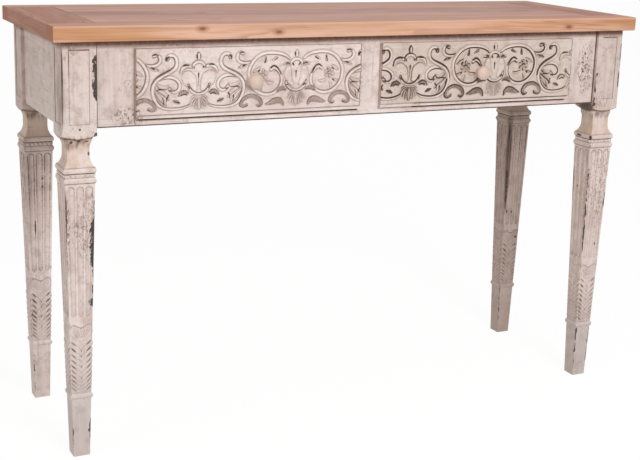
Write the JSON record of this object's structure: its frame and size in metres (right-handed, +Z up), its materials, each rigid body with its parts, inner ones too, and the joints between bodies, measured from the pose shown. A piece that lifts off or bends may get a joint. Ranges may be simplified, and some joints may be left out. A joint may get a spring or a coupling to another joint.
{
  "type": "pier table",
  "caption": "Narrow pier table to stand against a wall: plank top, carved drawers in the apron, square fluted legs tapering to small feet.",
  "frame": {"origin": "on the floor, at the middle of the whole table's box with its knobs", "axes": "+X along the table to the right seen from the front, +Y to the back, +Z up"},
  "size_m": [1.2, 0.4002, 0.78],
  "materials": {
    "painted_wood": "matt cream paint, rubbed through at the edges, grey-brown glaze in the recesses",
    "pine_top": "oiled orange-brown pine with knots",
    "bare_wood": "planed bare softwood",
    "plywood": "sanded plywood",
    "knob_paint": "satin beige-pink paint on turned wood",
    "steel": "zinc-plated"
  },
  "bodies": {
    "table": {"apron_back": "painted_wood", "apron_left": "painted_wood", "apron_right": "painted_wood", "front_bottom_rail": "painted_wood", "front_centre_stile": "painted_wood", "front_left_stile": "painted_wood", "front_right_stile": "painted_wood", "front_top_rail": "painted_wood", "guide_centre": "bare_wood", "guide_left": "bare_wood", "guide_right": "bare_wood", "kicker_centre": "bare_wood", "kicker_left": "bare_wood", "kicker_right": "bare_wood", "leg_back_left": "painted_wood", "leg_back_right": "painted_wood", "leg_front_left": "painted_wood", "leg_front_right": "painted_wood", "runner_centre": "bare_wood", "runner_left": "bare_wood", "runner_right": "bare_wood", "top_back_board": "pine_top", "top_field_board_1": "pine_top", "top_field_board_2": "pine_top", "top_field_board_3": "pine_top", "top_front_board": "pine_top", "top_left_end_board": "pine_top", "top_right_end_board": "pine_top", "top_screws": "steel"},
    "left_drawer": {"left_drawer_back": "bare_wood", "left_drawer_bottom": "plywood", "left_drawer_bottom_nails": "steel", "left_drawer_carved_panel": "painted_wood", "left_drawer_front": "painted_wood", "left_drawer_knob": "knob_paint", "left_drawer_knob_screw": "steel", "left_drawer_left_side": "bare_wood", "left_drawer_right_side": "bare_wood"},
    "right_drawer": {"right_drawer_back": "bare_wood", "right_drawer_bottom": "plywood", "right_drawer_bottom_nails": "steel", "right_drawer_carved_panel": "painted_wood", "right_drawer_front": "painted_wood", "right_drawer_knob": "knob_paint", "right_drawer_knob_screw": "steel", "right_drawer_left_side": "bare_wood", "right_drawer_right_side": "bare_wood"}
  },
  "joints": [
    {"name": "left_drawer_slide", "type": "slide", "parent": "table", "child": "left_drawer", "axis": [0, -1, 0], "range_m": [0, 0.22]},
    {"name": "right_drawer_slide", "type": "slide", "parent": "table", "child": "right_drawer", "axis": [0, -1, 0], "range_m": [0, 0.22]}
  ]
}
